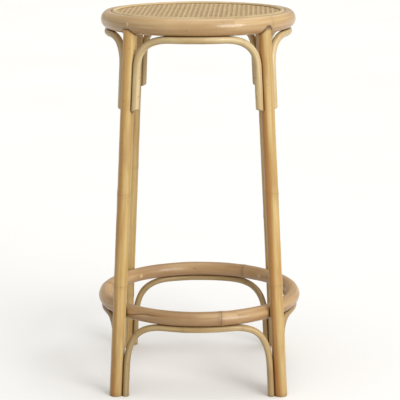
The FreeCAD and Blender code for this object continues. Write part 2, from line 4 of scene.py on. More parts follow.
import bpy
import numpy as np
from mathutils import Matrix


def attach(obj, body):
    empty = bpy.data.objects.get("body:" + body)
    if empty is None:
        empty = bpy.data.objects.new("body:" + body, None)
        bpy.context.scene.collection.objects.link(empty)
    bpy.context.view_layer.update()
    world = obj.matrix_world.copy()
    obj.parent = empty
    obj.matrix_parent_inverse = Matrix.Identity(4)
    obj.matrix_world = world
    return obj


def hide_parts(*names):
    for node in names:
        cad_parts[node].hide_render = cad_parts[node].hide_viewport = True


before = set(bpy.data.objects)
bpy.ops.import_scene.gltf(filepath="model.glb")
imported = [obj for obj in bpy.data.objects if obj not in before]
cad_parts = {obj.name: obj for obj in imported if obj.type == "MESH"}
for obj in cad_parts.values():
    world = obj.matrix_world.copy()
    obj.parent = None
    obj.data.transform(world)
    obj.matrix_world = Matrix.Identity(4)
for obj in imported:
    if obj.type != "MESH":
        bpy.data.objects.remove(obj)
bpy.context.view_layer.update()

# Rattan bar stool: bent poles and canes with their grain, a hand-finished woven cane seat and the
# small steel that holds it together. Sizes are in millimetres, and new_object turns them to metres.

MM = 0.001
TAU = 2 * pi

# ---------------------------------------------------------------- sizes

SEAT_R, SEAT_TUBE, SEAT_Z = 173.5, 17.5, 722.5
REBATE_WALL, REBATE_FLOOR, CROWN = 170.2, 731.0, 738.0
SPLINE_BASE, SPLINE_R, SPLINE_HALF, SPLINE_RISE = 735.8, 165.2, 4.7, 4.2
LEG_TUBE, LEG_FOOT_R, LEG_HEAD_R, LEG_HEAD_Z, LEG_DROP = 13.0, 228.0, 178.0, 722.5, 3.5
FOOT_R, FOOT_TUBE, FOOT_Z = 190.0, 14.2, 163.5
BEDDING, ARCH_PRESS, RING_PRESS = 0.4, 0.12, 0.14
NO_KNOT, NO_NEIGHBOUR = 30.0, 40.0
SCARF_AZIMUTH, SCARF_HALF = 112.0, 22.0

SEAT_RING, FOOT_RING = (SEAT_R, SEAT_TUBE, SEAT_Z), (FOOT_R, FOOT_TUBE, FOOT_Z)

LEGS = {"back_right": 45, "back_left": 135, "front_left": 225, "front_right": 315}
SIDES = {"right": 0, "back": 90, "left": 180, "front": 270}

UPPER = dict(tube=7.25, start=562.0, back_start=570.0, slant=20.0,
             bend=642.5, crown_r=176.8, half=14.0, turn=7.7,
             bend_pull=59.0, crown_pull=15.0, ring=SEAT_RING,
             leg_nails=(588.0, 624.0), ring_nail=8.0)
LOWER = dict(tube=6.5, start=0.0, back_start=0.0, slant=0.0,
             bend=55.5, crown_r=191.9, half=19.2, turn=30.0,
             bend_pull=60.0, crown_pull=60.0, ring=FOOT_RING,
             leg_nails=(20.0, 46.0), ring_nail=12.0)


# ---------------------------------------------------------------- points and lines

def unit(vector):
    vector = np.asarray(vector, float)
    return vector / np.linalg.norm(vector)


def polar(radius, azimuth, level):
    angle = radians(azimuth)
    return np.array([radius * cos(angle), radius * sin(angle), level])


def outward(azimuth):
    return polar(1.0, azimuth, 0.0)


def leg_direction(azimuth):
    return unit(polar(LEG_HEAD_R, azimuth, LEG_HEAD_Z) - polar(LEG_FOOT_R, azimuth, 0.0))


def leg_point(azimuth, level):
    direction = leg_direction(azimuth)
    return polar(LEG_FOOT_R, azimuth, 0.0) + direction * (level / direction[2])


def ring_gap(points, ring):
    """Distance from points to the surface of a ring, negative inside it."""
    radius, tube, level = ring
    across = np.hypot(points[..., 0], points[..., 1]) - radius
    return np.hypot(across, points[..., 2] - level) - tube


def off_axis(points, azimuth):
    """From a leg's axis to each point, square to the axis."""
    direction = leg_direction(azimuth)
    offset = points - polar(LEG_FOOT_R, azimuth, 0.0)
    return offset - np.outer(offset @ direction, direction)


def out_of_leg(points, azimuth, press):
    """Move points that lie too deep in a leg out to the depth to which it is pressed in."""
    radial = off_axis(points, azimuth)
    distance = np.linalg.norm(radial, axis=1)
    lack = np.maximum(LEG_TUBE - press - distance, 0.0)
    return points + radial / distance[:, None] * lack[:, None]


def nearest(points, line):
    """Distance from each point to the nearest point of a line, a few thousand at a time."""
    batch = 4000
    return np.concatenate([
        np.linalg.norm(points[start:start + batch, None] - line[None], axis=2).min(axis=1)
        for start in range(0, len(points), batch)])


def run_offset(family, azimuth, side):
    """From a leg's axis to the axis of the arch that runs beside it."""
    turn = radians(family["turn"])
    sideways = outward(azimuth - 90 * side)
    reach = LEG_TUBE + family["tube"] - BEDDING
    return (sideways * cos(turn) - outward(azimuth) * sin(turn)) * reach


def run_point(family, arch_azimuth, side, level):
    azimuth = arch_azimuth + 45 * side
    return leg_point(azimuth, level) + run_offset(family, azimuth, side)


def crown_level(family):
    radius, tube, level = family["ring"]
    reach = tube + family["tube"] - BEDDING
    return level - sqrt(reach ** 2 - (family["crown_r"] - radius) ** 2)


def arch_line(family, azimuth):
    """The centreline of an arch as a fine run of points: run, bend, crown, bend, run."""
    level = crown_level(family)
    radius, half = family["crown_r"], family["half"]
    start = family["back_start"] if azimuth == SIDES["back"] else family["start"]
    halves = []
    for side in (-1, 1):
        foot = run_point(family, azimuth, side, start)
        bend = run_point(family, azimuth, side, family["bend"])
        end = polar(radius, azimuth + side * half, level)
        heading = outward(azimuth + side * (half - 90))
        pull = bend + unit(bend - foot) * family["bend_pull"]
        ease = end - heading * family["crown_pull"]
        t = np.linspace(0, 1, 400)[:, None]
        curve = ((1 - t) ** 3 * bend + 3 * t * (1 - t) ** 2 * pull
                 + 3 * t ** 2 * (1 - t) * ease + t ** 3 * end)
        run = foot + (bend - foot) * np.linspace(0, 1, 160)[:-1, None]
        halves.append(np.vstack([run, curve]))
    turns = azimuth + np.linspace(-half, half, 240)[1:-1]
    crown = np.array([polar(radius, turn, level) for turn in turns])
    return np.vstack([halves[0], crown, halves[1][::-1]])


# ---------------------------------------------------------------- surface of a natural pole

def waves(seed, depth, length):
    """Slow unevenness of a pole, repeating every length along it. Returns f(s, angle)."""
    rng = random.Random(seed)
    terms = []
    for _ in range(9):
        along = TAU * rng.randint(2, max(4, int(length / 45))) / length
        around = rng.choice((0, 1, 2, 3))
        terms.append((along, around, rng.uniform(0, TAU), rng.uniform(0.5, 1)))

    def height(s, angle):
        total = 0.0
        for along, around, phase, weight in terms:
            total = total + weight * np.cos(along * s + around * angle + phase)
        return depth * total / 3.0
    return height


def knot_gap(s, angle, knots, length=None):
    """Signed distance along the pole to the nearest node, whose line leans and wanders a little."""
    best = np.full(np.broadcast(s, angle).shape, 60.0)
    for number, place in enumerate(knots):
        lean = 0.9 * np.cos(angle + 2.1 * number) + 0.35 * np.cos(3 * angle + number)
        gap = s - place - lean
        if length:
            gap = (gap + length / 2) % length - length / 2
        best = np.where(np.abs(gap) < np.abs(best), gap, best)
    return best


def knot_swelling(gap, size):
    """A node: a soft swelling, fuller on one side, with a fine groove left by the leaf sheath."""
    swell = np.where(gap > 0, np.exp(-(gap / 9.0) ** 2), np.exp(-(gap / 5.0) ** 2))
    return size * swell - 0.55 * size * np.exp(-(gap / 0.75) ** 2)


def stations(start, end, step, knots, fine=(), length=None):
    """Places along a pole: even steps, closer together at nodes and nails."""
    places = list(np.linspace(start, end, max(2, int(round((end - start) / step)) + 1)))
    for knot in knots:
        places += [knot + sign * d for sign in (-1, 1)
                   for d in (0.0, 0.5, 1.0, 1.6, 2.3, 3.2, 4.6, 6.5)]
    for place in fine:
        places += [place + sign * d for sign in (-1, 1) for d in (0.0, 0.7, 1.4, 2.1, 2.9)]
    if length:
        places = sorted({round(place % length, 3) for place in places})
    places = sorted(place for place in places if start - 1e-6 <= place <= end + 1e-6)
    kept = [places[0]]
    for place in places[1:]:
        if place - kept[-1] > 0.3:
            kept.append(place)
    if not length:
        kept[-1] = end
    return np.array(kept)


# ---------------------------------------------------------------- meshes

def link_object(name, data):
    obj = bpy.data.objects.new(name, data)
    bpy.context.scene.collection.objects.link(obj)
    return obj


def new_object(name, vertices, faces, material):
    """A smooth named object in the scene, in metres."""
    mesh = bpy.data.meshes.new(name)
    mesh.from_pydata((np.asarray(vertices) * MM).tolist(), [], faces)
    mesh.materials.append(material)
    mesh.polygons.foreach_set("use_smooth", [True] * len(faces))
    return link_object(name, mesh)


def add_values(obj, name, values, domain="POINT"):
    """A number for each vertex or face corner, or one for all, that the materials read by name."""
    layer = obj.data.attributes.new(name, "FLOAT", domain)
    layer.data.foreach_set("value", np.broadcast_to(values, len(layer.data)).astype(np.float32))


def add_grain(obj, places, domain):
    """Where each vertex or face corner lies in the pole, for the grain: (x, y, along) in metres."""
    layer = obj.data.attributes.new("grain", "FLOAT_VECTOR", domain)
    layer.data.foreach_set("vector", (np.asarray(places, np.float32) * MM).ravel())


def build_mesh(name, vertices, faces, corners, knots, material, ends=None, end_material=None):
    """corners: per face corner (x, y, along). knots: per corner, the gap to the nearest node.
    ends: 1 for each face that is a sawn end."""
    obj = new_object(name, vertices, faces, material)
    add_grain(obj, corners, "CORNER")
    add_values(obj, "knot", knots, "CORNER")
    if end_material:
        obj.data.materials.append(end_material)
        obj.data.polygons.foreach_set("material_index", np.asarray(ends, np.int32))
    obj.data.update()
    obj.data.validate()
    return obj


def tube_mesh(name, grid, grain, gaps, material, end_material=None, seam_run=0.0):
    """A swept tube from grid[station, corner, xyz]. With an end material it is closed by sawn ends.
    Without one it joins up, and seam_run is what the grain's length jumps by there."""
    rows, columns = grid.shape[:2]
    vertices = grid.reshape(-1, 3).tolist()
    faces, corners, knots, ends = [], [], [], []
    for i in range(rows - 1 if end_material else rows):
        k = (i + 1) % rows
        jump = seam_run if k < i else 0.0
        for j in range(columns):
            m = (j + 1) % columns
            faces.append((i * columns + j, i * columns + m, k * columns + m, k * columns + j))
            for row, column, extra in ((i, j, 0.0), (i, m, 0.0), (k, m, jump), (k, j, jump)):
                x, y, s = grain[row, column]
                corners.append((x, y, s + extra))
                knots.append(gaps[row, column])
            ends.append(0)
    if not end_material:
        return build_mesh(name, vertices, faces, corners, knots, material)
    for row, order in ((0, -1), (rows - 1, 1)):
        centre = len(vertices)
        vertices.append(grid[row].mean(axis=0).tolist())
        middle = grain[row].mean(axis=0)
        for j in range(columns):
            m = (j + 1) % columns
            faces.append((row * columns + j, row * columns + m, centre)[::order])
            corners += [tuple(mark) for mark in (grain[row, j], grain[row, m], middle)[::order]]
            knots += [NO_KNOT] * 3
            ends.append(1)
    obj = build_mesh(name, vertices, faces, corners, knots, material, ends, end_material)
    mark_sharp_ends(obj)
    return obj


def mark_sharp_ends(obj):
    """Shade sawn ends flat: edges between an end face and the bark are sharp."""
    mesh = obj.data
    kinds = {}
    for polygon in mesh.polygons:
        for key in polygon.edge_keys:
            kinds.setdefault(key, set()).add(polygon.material_index)
    sharp = mesh.attributes.new("sharp_edge", "BOOLEAN", "EDGE")
    flags = [len(kinds.get(tuple(sorted(edge.vertices)), ())) > 1 for edge in mesh.edges]
    sharp.data.foreach_set("value", flags)


def vertex_places(obj):
    places = np.empty(len(obj.data.vertices) * 3, np.float32)
    obj.data.vertices.foreach_get("co", places)
    return places.reshape(-1, 3).astype(float) / MM


def neighbour_gap(points, legs=(), rings=(), canes=(), outlines=()):
    """Millimetres from each point to the nearest other pole, for the painted shade in tight
    corners.
    """
    reach = [np.full(len(points), NO_NEIGHBOUR)]
    reach += [nearest(points, outline) for outline in outlines]
    reach += [np.linalg.norm(off_axis(points, azimuth), axis=1) - LEG_TUBE for azimuth in legs]
    reach += [ring_gap(points, ring) for ring in rings]
    reach += [nearest(points, arch_line(family, azimuth)[::6]) - family["tube"]
              for family, azimuth in canes]
    return np.maximum(np.minimum.reduce(reach), 0.0)


def finish_piece(obj, nodes, tone, shift, near=NO_NEIGHBOUR, warm=0.0):
    """Give a piece its own shade and place in the grain, and put it in place of CAD nodes."""
    for name, value in (("tone", tone), ("shift", shift), ("near", near), ("warm", warm)):
        add_values(obj, name, value)
    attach(obj, "root")
    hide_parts(*nodes)


# ---------------------------------------------------------------- rings

def ring_piece(ring, section, knots, seed, depth, swelling):
    """A pole bent to a ring. section: list of (x, y, how much the pole's unevenness moves it)."""
    radius, tube, level = ring
    length = TAU * radius
    places = stations(0.0, length, 2.6, [k % length for k in knots], length=length)
    places = places[places < length - 0.2]
    wave = waves(seed, depth, length)
    shape = np.array(section)
    angle = np.arctan2(shape[:, 1], shape[:, 0])[None, :]
    s = places[:, None]
    gaps = knot_gap(s, angle, knots, length)
    grow = (wave(s, angle) + knot_swelling(gaps, swelling)) * shape[None, :, 2] / tube
    x = shape[None, :, 0] * (1 + grow)
    y = shape[None, :, 1] * (1 + grow)
    azimuth = s / radius + radians(SCARF_AZIMUTH) + pi
    grid = np.stack([(radius + x) * np.cos(azimuth), (radius + x) * np.sin(azimuth),
                     level + y + 0 * azimuth], axis=-1)
    grain = np.stack([x, y, s - length / 2 + 0 * x], axis=-1)
    return grid, grain, gaps, length


def circle_section(tube, count):
    """A round section, in the order that makes the ring's faces point outwards."""
    return [(tube * cos(TAU * j / count), -tube * sin(TAU * j / count), 1.0)
            for j in range(count)]


def seat_section():
    """The seat ring's round section: its crown sanded flat, and a step in its inner top."""
    wall = REBATE_WALL - SEAT_R
    floor, top = REBATE_FLOOR - SEAT_Z, CROWN - SEAT_Z
    first = asin(top / SEAT_TUBE)
    edge = sqrt(SEAT_TUBE ** 2 - top ** 2)
    last = -pi - asin(floor / SEAT_TUBE) + 0.02
    points = [(wall + 0.45, top - 0.02, 0.0)]
    for share in (0.3, 0.6, 0.85):
        points.append((wall + (edge - wall) * share, top + 0.06 * sin(pi * share), 0.0))
    for j in range(85):
        angle = first + (last - first) * j / 84
        weight = min(1.0, j / 6.0, (84 - j) / 6.0)
        points.append((SEAT_TUBE * cos(angle), SEAT_TUBE * sin(angle), weight))
    inner = -sqrt(SEAT_TUBE ** 2 - floor ** 2)
    for share in (0.02, 0.25, 0.5, 0.75, 1.0):
        points.append((inner + (wall - inner) * share, floor, 0.0))
    for share in (0.35, 0.7, 0.93):
        points.append((wall, floor + (top - floor) * share, 0.0))
    points.append((wall + 0.12, top - 0.2, 0.0))
    return points


# ---------------------------------------------------------------- legs

def leg_axes(azimuth):
    """Foot, direction and the two cross directions of a leg; the first of them points outwards."""
    direction = leg_direction(azimuth)
    n_axis = unit(outward(azimuth) - direction * np.dot(outward(azimuth), direction))
    return polar(LEG_FOOT_R, azimuth, 0.0), direction, n_axis, np.cross(direction, n_axis)


def coped_head(azimuth, drop, angle):
    """How far up each line of a leg's surface reaches before the seat ring or its sawn head."""
    foot, direction, n_axis, b_axis = leg_axes(azimuth)
    length = (LEG_HEAD_Z - drop) / direction[2]
    high = np.full(len(angle), length)
    probe = np.arange(length - 30, length, 0.02)
    for j, turn in enumerate(angle):
        side = LEG_TUBE * (n_axis * cos(turn) + b_axis * sin(turn))
        gaps = ring_gap(foot + side + direction * probe[:, None], SEAT_RING)
        inside = np.nonzero(gaps < -0.12)[0]
        if len(inside):
            high[j] = probe[inside[0]]
    return length, high


def head_outline(azimuth, drop):
    """Closely spaced points where a leg's surface meets the seat ring."""
    angle = np.arange(160) * TAU / 160
    foot, direction, n_axis, b_axis = leg_axes(azimuth)
    _, high = coped_head(azimuth, drop, angle)
    side = np.outer(np.cos(angle), n_axis) + np.outer(np.sin(angle), b_axis)
    return foot + LEG_TUBE * side + np.outer(high, direction)


def leg_piece(azimuth, knots, seed, drop):
    """A straight pole: sawn flat on the floor, and coped at the top against the seat ring."""
    columns, margin = 64, 40.0
    foot, direction, n_axis, b_axis = leg_axes(azimuth)
    angle = np.arange(columns) * TAU / columns
    low = -LEG_TUBE * n_axis[2] * np.cos(angle) / direction[2]
    length, high = coped_head(azimuth, drop, angle)
    s = [low, low + 0.35, low + 0.9, low + 2.0]
    s += [(low + 2.0) * (1 - m) + margin * m for m in (0.2, 0.4, 0.6, 0.8)]
    s += [np.full(columns, run) for run in stations(margin, length - margin, 3.2, knots)]
    s += [(length - margin) * m + high * (1 - m) for m in np.linspace(0.92, 0.08, 12)] + [high]
    s = np.array(s)
    ease = np.zeros((len(s), 1))
    ease[:3, 0] = 0.75, 0.32, 0.08
    wave = waves(seed, 0.13, 700.0)
    gaps = knot_gap(s, angle[None, :], knots)
    tube = LEG_TUBE + wave(s, angle[None, :]) + knot_swelling(gaps, 0.5) - ease
    x, y = tube * np.cos(angle), tube * np.sin(angle)
    grid = foot + s[..., None] * direction + x[..., None] * n_axis + y[..., None] * b_axis
    grid[0, :, 2] = 0.0
    return grid, np.stack([x, y, s], axis=-1), gaps


# ---------------------------------------------------------------- arches

def transport(line):
    """Tangents and a steady pair of cross directions along a line of points."""
    tangents = np.gradient(line, axis=0)
    tangents /= np.linalg.norm(tangents, axis=1)[:, None]
    across = np.zeros_like(tangents)
    across[0] = unit(np.cross(tangents[0], [0.3, 0.7, 0.2]))
    for i in range(1, len(line)):
        across[i] = unit(across[i - 1] - tangents[i] * np.dot(across[i - 1], tangents[i]))
    return tangents, across, np.cross(tangents, across)


def nail_heads(family, azimuth):
    """Where the nails of one arch enter it, and which way they point."""
    heads = []
    for side in (-1, 1):
        aim = -unit(run_offset(family, azimuth + 45 * side, side))
        for level in family["leg_nails"]:
            middle = run_point(family, azimuth, side, level)
            heads.append((middle - aim * family["tube"], aim))
    radius, _, level = family["ring"]
    for side in (-1, 1):
        turn = azimuth + side * family["ring_nail"]
        middle = polar(family["crown_r"], turn, crown_level(family))
        aim = unit(polar(radius, turn, level) - middle)
        heads.append((middle - aim * family["tube"], aim))
    return heads


def arch_piece(family, azimuth, knots, seed):
    """A bent cane from leg to leg: its ends cut at the floor, or slanting towards the legs."""
    columns = 44
    line = arch_line(family, azimuth)
    steps = np.linalg.norm(np.diff(line, axis=0), axis=1)
    reach = np.concatenate([[0.0], np.cumsum(steps)])
    length = reach[-1]
    tangents, n_axes, b_axes = transport(line)
    heads = nail_heads(family, azimuth)
    near = [reach[np.argmin(np.linalg.norm(line - head, axis=1))] for head, _ in heads]
    margin = 8.0
    floor_cut = family["start"] <= 0.0
    angle = np.arange(columns) * TAU / columns
    tube = family["tube"]

    def frame_at(s):
        pick = [np.interp(s, reach, table[:, axis]) for table in (line, tangents, n_axes, b_axes)
                for axis in range(3)]
        return [np.array(pick[3 * k:3 * k + 3]) for k in range(4)]

    ends = []
    for at, side in ((0.0, -1), (length, 1)):
        _, tangent, n_axis, b_axis = frame_at(at)
        around = np.outer(np.cos(angle), n_axis) + np.outer(np.sin(angle), b_axis)
        if floor_cut:
            lean = -tube * around[:, 2] / tangent[2]
        else:
            to_leg = -unit(run_offset(family, azimuth + 45 * side, side))
            lean = side * tube * (around @ to_leg) * tan(radians(family["slant"]))
        ends.append(at + lean)
    # each row: where it lies along the cane, and how much the sawn end's rounded edge takes off
    rows = [(ends[0], 0.6), (ends[0] + 0.3, 0.22), (ends[0] + 0.8, 0.04), (ends[0] + 1.6, 0.0)]
    rows += [((ends[0] + 1.6) * (1 - m) + margin * m, 0.0) for m in (0.33, 0.66)]
    rows += [(np.full(columns, s), 0.0)
             for s in stations(margin, length - margin, 2.8, knots, fine=near)]
    rows += [((ends[1] - 1.6) * m + (length - margin) * (1 - m), 0.0) for m in (0.33, 0.66)]
    rows += [(ends[1] - 1.6, 0.0), (ends[1] - 0.8, 0.04), (ends[1] - 0.3, 0.22), (ends[1], 0.6)]
    wave = waves(seed, 0.11, length)
    grid, grain, gap_rows = [], [], []
    for s, ease in rows:
        centre_s = float(np.mean(s))
        held_s = min(max(centre_s, 0.0), length)
        point, tangent, n_axis, b_axis = frame_at(held_s)
        point = point + tangent * (centre_s - held_s)
        gaps = knot_gap(s, angle, knots)
        radius = tube + wave(s, angle) + knot_swelling(gaps, 0.22) - ease
        x, y = radius * np.cos(angle), radius * np.sin(angle)
        ring = point + np.outer(x, unit(n_axis)) + np.outer(y, unit(b_axis))
        ring = ring + np.outer(s - centre_s, unit(tangent))
        grid.append(ring)
        grain.append(np.stack([x, y, s], axis=-1))
        gap_rows.append(gaps)
    grid = clear_of_neighbours(np.array(grid), family, azimuth, heads)
    if floor_cut:
        grid[0, :, 2] = 0.0
        grid[-1, :, 2] = 0.0
        grid[..., 2] = np.maximum(grid[..., 2], 0.0)
    return grid, np.array(grain), np.array(gap_rows)


def clear_of_neighbours(grid, family, azimuth, heads):
    """Flatten an arch where it beds against its legs and ring, and dimple it under nail heads."""
    points = grid.reshape(-1, 3)
    for side in (-1, 1):
        points = out_of_leg(points, azimuth + 45 * side, ARCH_PRESS)
    radius, tube, level = family["ring"]
    flat = np.hypot(points[:, 0], points[:, 1])
    core = np.stack([points[:, 0] / flat * radius, points[:, 1] / flat * radius,
                     np.full(len(flat), level)], axis=-1)
    away = points - core
    distance = np.linalg.norm(away, axis=1)
    lack = np.maximum(tube - ARCH_PRESS - distance, 0.0)
    points = points + away / distance[:, None] * lack[:, None]
    for head, aim in heads:
        offset = points - head
        beside = np.linalg.norm(offset - np.outer(offset @ aim, aim), axis=1)
        facing = (offset @ aim) < 3.0
        sink = 0.42 * np.clip((2.9 - beside) / 1.1, 0.0, 1.0) * facing
        points = points + np.outer(sink, aim)
    return points.reshape(grid.shape)


# ---------------------------------------------------------------- woven cane seat

PITCH, PAIR, STRAND_T = 9.525, 1.09, 0.36
PAIR_W, DIAGONAL_W = 2.12, 3.0
WEAVE_TURN = radians(-1.2)
WEAVE_Z, WEAVE_R = 735.55, 164.3
PAIR_STEPS = (-4.7625, -3.1, -2.0, -1.0, 0.0, 1.0, 2.0, 3.1)
DIAGONAL_STEPS = tuple(PITCH * k / 12 for k in range(12))
STRAND_SECTION = ((-0.5, -0.12), (-0.27, 0.40), (0.0, 0.5), (0.27, 0.40), (0.5, -0.12), (0.0, -0.5))


def pair_wave(distance):
    """A strand's rise over and dip under the two strands of a pair that it crosses."""
    rise = np.exp(-((distance + PAIR) / 0.85) ** 2) - np.exp(-((distance - PAIR) / 0.85) ** 2)
    return STRAND_T / 2 * rise


def strands_piece(name, lines, width, shade_lean, material, seed):
    """Flat split-cane strands. lines: start, heading, and pairs (run, lift) along the strand."""
    turn = np.array([[cos(WEAVE_TURN), -sin(WEAVE_TURN)],
                     [sin(WEAVE_TURN), cos(WEAVE_TURN)]])
    rng = random.Random(seed)
    vertices, faces, grain, tones = [], [], [], []
    for number, (start, heading, course) in enumerate(lines):
        start, heading = turn @ start, turn @ heading
        side = np.array([-heading[1], heading[0]])
        wide = width * rng.uniform(0.93, 1.05)
        shade = shade_lean + rng.gauss(0, 0.4)
        drift, phase = rng.uniform(0.02, 0.13), rng.uniform(0, TAU)
        base = len(vertices)
        for run, lift in course:
            stray = drift * sin(run / 31.0 + phase)
            for across, up in STRAND_SECTION:
                place = start + heading * run + side * (across * wide + stray)
                vertices.append((place[0], place[1], WEAVE_Z + lift + up * STRAND_T))
                grain.append((across * wide + 7.0 * number, up * STRAND_T, run + 60.0 * phase))
                tones.append(shade)
        count = len(STRAND_SECTION)
        for i in range(len(course) - 1):
            for j in range(count):
                a, b = base + i * count + j, base + i * count + (j + 1) % count
                faces.append((a, b, b + count, a + count))
        faces.append(tuple(base + j for j in range(count))[::-1])
        faces.append(tuple(base + (len(course) - 1) * count + j for j in range(count)))
    obj = new_object(name, vertices, [face[::-1] for face in faces], material)
    add_grain(obj, grain, "POINT")
    add_values(obj, "tone", tones)
    obj.data.update()
    return obj


def straight_lines(along_x):
    """The pairs that run one way: a strand each side of every half pitch."""
    lines = []
    reach = int(WEAVE_R / PITCH) + 2
    for index in range(-reach, reach):
        for member in (-1, 1):
            offset = (index + 0.5) * PITCH + member * PAIR
            if abs(offset) > WEAVE_R - 4:
                continue
            half = sqrt(WEAVE_R ** 2 - offset ** 2)
            sign = (1 if member < 0 else -1) * (-1 if along_x else 1)
            course = [(-half, 0.0)]
            for cell in range(-reach, reach):
                for step in PAIR_STEPS:
                    run = (cell + 0.5) * PITCH + step
                    if -half + 0.4 < run < half - 0.4:
                        course.append((run, sign * float(pair_wave(step))))
            course.append((half, 0.0))
            start, heading = ((0.0, offset), (1.0, 0.0)) if along_x else ((offset, 0.0), (0.0, 1.0))
            lines.append((np.array(start), np.array(heading), course))
    return lines


def diagonal_lines(slope):
    """Single diagonals across the corners of the openings, over one pair and under the other."""
    lines = []
    heading = np.array([1.0, -slope]) / sqrt(2)
    normal = np.array([1.0, slope]) / sqrt(2)
    reach = int(1.5 * WEAVE_R / PITCH) + 2
    for index in range(-reach, reach):
        offset = (index + 0.5) * PITCH / sqrt(2)
        if abs(offset) > WEAVE_R - 4:
            continue
        half = sqrt(WEAVE_R ** 2 - offset ** 2)
        start = normal * offset
        course = [(-half, 0.0)]
        for cell in range(-reach, reach):
            for step in DIAGONAL_STEPS:
                run = (cell * PITCH + step - start[0]) * sqrt(2)
                if -half + 0.6 < run < half - 0.6:
                    swing = tanh(2.3 * cos(TAU * step / PITCH)) / tanh(2.3)
                    course.append((run, slope * STRAND_T * swing))
        course.append((half, 0.0))
        lines.append((start, heading, course))
    return lines


# ---------------------------------------------------------------- edge spline and plugs

def spline_piece():
    """Half-round cane round the webbing's edge, its two ends butted, dimpled at the pins."""
    begin, gap = 74.0, 0.12
    radius = (SPLINE_HALF ** 2 + SPLINE_RISE ** 2) / (2 * SPLINE_RISE)
    spread = asin(SPLINE_HALF / radius)
    if SPLINE_RISE > radius:
        spread = pi - spread
    section = []
    for j in range(17):
        angle = spread * (1 - 2 * j / 16)
        section.append((radius * sin(angle), radius * cos(angle) - radius + SPLINE_RISE))
    section += [(-SPLINE_HALF * 0.5, 0.0), (SPLINE_HALF * 0.5, 0.0)]
    length = TAU * SPLINE_R * (360 - gap) / 360
    knots, pins = [210.0, 610.0, 905.0], [15.0 + 30.0 * k for k in range(12)]
    pin_runs = [((pin - begin) % 360) / 360 * TAU * SPLINE_R for pin in pins]
    places = stations(0.0, length, 2.6, knots, fine=pin_runs)
    wave = waves(31, 0.05, length)
    shape = np.array(section)
    s = places[:, None]
    angle = np.arctan2(shape[:, 1] - 1.5, shape[:, 0])[None, :]
    gaps = knot_gap(s, angle, knots)
    lift = (wave(s, angle) + knot_swelling(gaps, 0.12)) * np.minimum(shape[None, :, 1] / 2, 1.0)
    azimuth = radians(begin) + s / SPLINE_R
    x, y = shape[None, :, 0] + 0 * s, shape[None, :, 1] + lift
    grid = np.stack([(SPLINE_R + x) * np.cos(azimuth), (SPLINE_R + x) * np.sin(azimuth),
                     SPLINE_BASE + y], axis=-1)
    floor = SPLINE_BASE + SPLINE_RISE - 0.68
    for pin in pins:
        x_pin, y_pin, _ = polar(SPLINE_R, pin, 0.0)
        beside = np.hypot(grid[..., 0] - x_pin, grid[..., 1] - y_pin)
        bottom = floor + 0.55 * np.clip((beside - 0.75) / 0.7, 0, 1)
        dip = (beside < 1.45) & (grid[..., 2] > floor)
        grid[..., 2] = np.where(dip, np.minimum(grid[..., 2], bottom), grid[..., 2])
    return grid[:, ::-1], np.stack([x, y, s + 0 * x], axis=-1)[:, ::-1], gaps[:, ::-1]


def onto_ring(start, aim, ring, rise):
    """Where a line meets a ring's surface, raised by rise."""
    point = np.array(start, float) - aim * 12.0
    for _ in range(60):
        point = point + aim * (ring_gap(point, ring) - rise)
    return point


def button(entry, aim, ring, radius, number):
    """A thin wooden plug, trimmed to the pole's round surface and rubbed slightly domed."""
    columns, steps = 32, (1.0, 1.0, 0.96, 0.8, 0.55, 0.28)
    n_axis = unit(np.cross(aim, [0.0, 0.0, 1.0]))
    b_axis = np.cross(aim, n_axis)
    vertices, faces, grain = [], [], []
    for level, share in enumerate(steps):
        for j in range(columns):
            turn = TAU * j / columns
            across, up = radius * share * cos(turn), radius * share * sin(turn)
            rise = -0.9 if level == 0 else 0.02 + 0.2 * (1 - share ** 2) ** 0.8
            point = onto_ring(entry + n_axis * across + b_axis * up, aim, ring, rise)
            vertices.append(point)
            grain.append((across, 0.3 * level, up + 40.0 * number))
    top, bottom = len(vertices), len(vertices) + 1
    for rise in (0.22, -0.9):
        vertices.append(onto_ring(entry, aim, ring, rise))
        grain.append((0.0, 0.0, 40.0 * number))
    for level in range(len(steps) - 1):
        for j in range(columns):
            m = (j + 1) % columns
            a, b = level * columns, (level + 1) * columns
            faces.append((a + j, a + m, b + m, b + j))
    last = (len(steps) - 1) * columns
    for j in range(columns):
        m = (j + 1) % columns
        faces.append((last + j, last + m, top))
        faces.append((m, j, bottom))
    return vertices, faces, grain


def plugs_piece(name, places, ring, radius, material, tones):
    """All the plugs of one ring as one piece. places: a point near each, and its direction."""
    vertices, faces, corners, shade = [], [], [], []
    for number, (entry, aim) in enumerate(places):
        points, polygons, grain = button(entry, aim, ring, radius, number)
        base = len(vertices)
        vertices += [tuple(point) for point in points]
        faces += [tuple(base + v for v in polygon)[::-1] for polygon in polygons]
        corners += [grain[v] for polygon in polygons for v in polygon[::-1]]
        shade += [tones[number]] * len(points)
    obj = build_mesh(name, vertices, faces, corners, [NO_KNOT] * len(corners), material)
    for layer, value in (("tone", shade), ("shift", 0.0), ("near", NO_NEIGHBOUR), ("warm", 0.0)):
        add_values(obj, layer, value)
    return obj


# ---------------------------------------------------------------- materials

def linear(red, green, blue):
    """An sRGB colour, 0 to 255, as linear RGBA."""
    parts = []
    for value in (red, green, blue):
        share = value / 255
        parts.append(share / 12.92 if share <= 0.04045 else ((share + 0.055) / 1.055) ** 2.4)
    return (*parts, 1.0)


